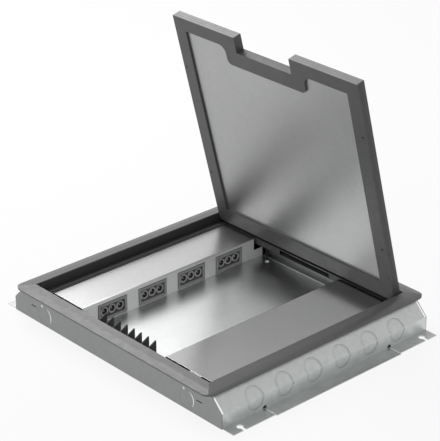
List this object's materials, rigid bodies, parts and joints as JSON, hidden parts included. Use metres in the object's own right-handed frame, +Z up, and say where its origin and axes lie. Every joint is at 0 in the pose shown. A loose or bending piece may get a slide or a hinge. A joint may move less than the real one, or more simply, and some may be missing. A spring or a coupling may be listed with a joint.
{
  "type": "raised access floor socket box",
  "caption": "Sheet-steel floor socket box with outlet compartments, a level-adjustable ramped trim frame and a hinged recessed lid with cable outlet.",
  "frame": {"origin": "centre of the box footprint, at the underside of the floor tray", "axes": "+X toward the data compartment, +Y toward the hinge side, +Z up; the lid is stored open about 75 degrees"},
  "size_m": [0.812, 0.69, 0.6601],
  "materials": {
    "galvanised": "hot-dip galvanised sheet, satin with faint spangle",
    "tray_steel": "bright galvanised sheet",
    "cover_steel": "bright satin steel sheet",
    "lid_plate_steel": "satin galvanised sheet",
    "trim_paint": "grey fine-texture powder coat on aluminium",
    "lid_paint": "dark grey powder coat",
    "ledge_paint": "black powder coat",
    "bezel_plastic": "moulded grey plastic",
    "socket_plastic": "moulded dark plastic",
    "blank_plastic": "moulded grey plastic",
    "zinc": "bright zinc plate",
    "seal_rubber": "closed-cell rubber",
    "comb_rubber": "moulded rubber",
    "pan_steel": "galvanised sheet",
    "board": "mineral-filled board",
    "black_screw": "blackened steel"
  },
  "bodies": {
    "box": {"base_tray": "tray_steel", "right_side_panel": "galvanised", "left_side_panel": "galvanised", "front_end_wall": "galvanised", "rear_end_wall": "galvanised", "power_compartment_cover": "cover_steel", "data_compartment_cover": "cover_steel", "levelling_screws": "zinc", "levelling_feet": "zinc", "levelling_nuts": "zinc", "socket_blocks": "socket_plastic", "socket_bezel_1": "bezel_plastic", "blanking_plate_1": "blank_plastic", "socket_bezel_2": "bezel_plastic", "blanking_plate_2": "blank_plastic", "socket_bezel_3": "bezel_plastic", "blanking_plate_3": "blank_plastic", "socket_bezel_4": "bezel_plastic", "blanking_plate_4": "blank_plastic"},
    "frame": {"trim_rail_front": "trim_paint", "trim_rail_right": "trim_paint", "trim_rail_rear": "trim_paint", "trim_rail_left": "trim_paint", "corner_keys": "zinc", "seat_frame": "ledge_paint", "lid_seal": "seal_rubber", "cable_comb": "comb_rubber", "hinge_pins": "zinc"},
    "lid": {"lid_frame": "lid_paint", "lid_plate": "lid_plate_steel", "lid_core_board": "board", "lid_pan": "pan_steel", "lid_screws": "black_screw"}
  },
  "joints": [
    {"name": "frame_level", "type": "slide", "parent": "box", "child": "frame", "axis": [0, 0, 1], "range_m": [0, 0.012]},
    {"name": "lid_hinge", "type": "hinge", "parent": "frame", "child": "lid", "pos_m": [0, 0.2958, 0.0788], "axis": [-1, 0, 0], "range_deg": [-75.4, 24.6]}
  ]
}
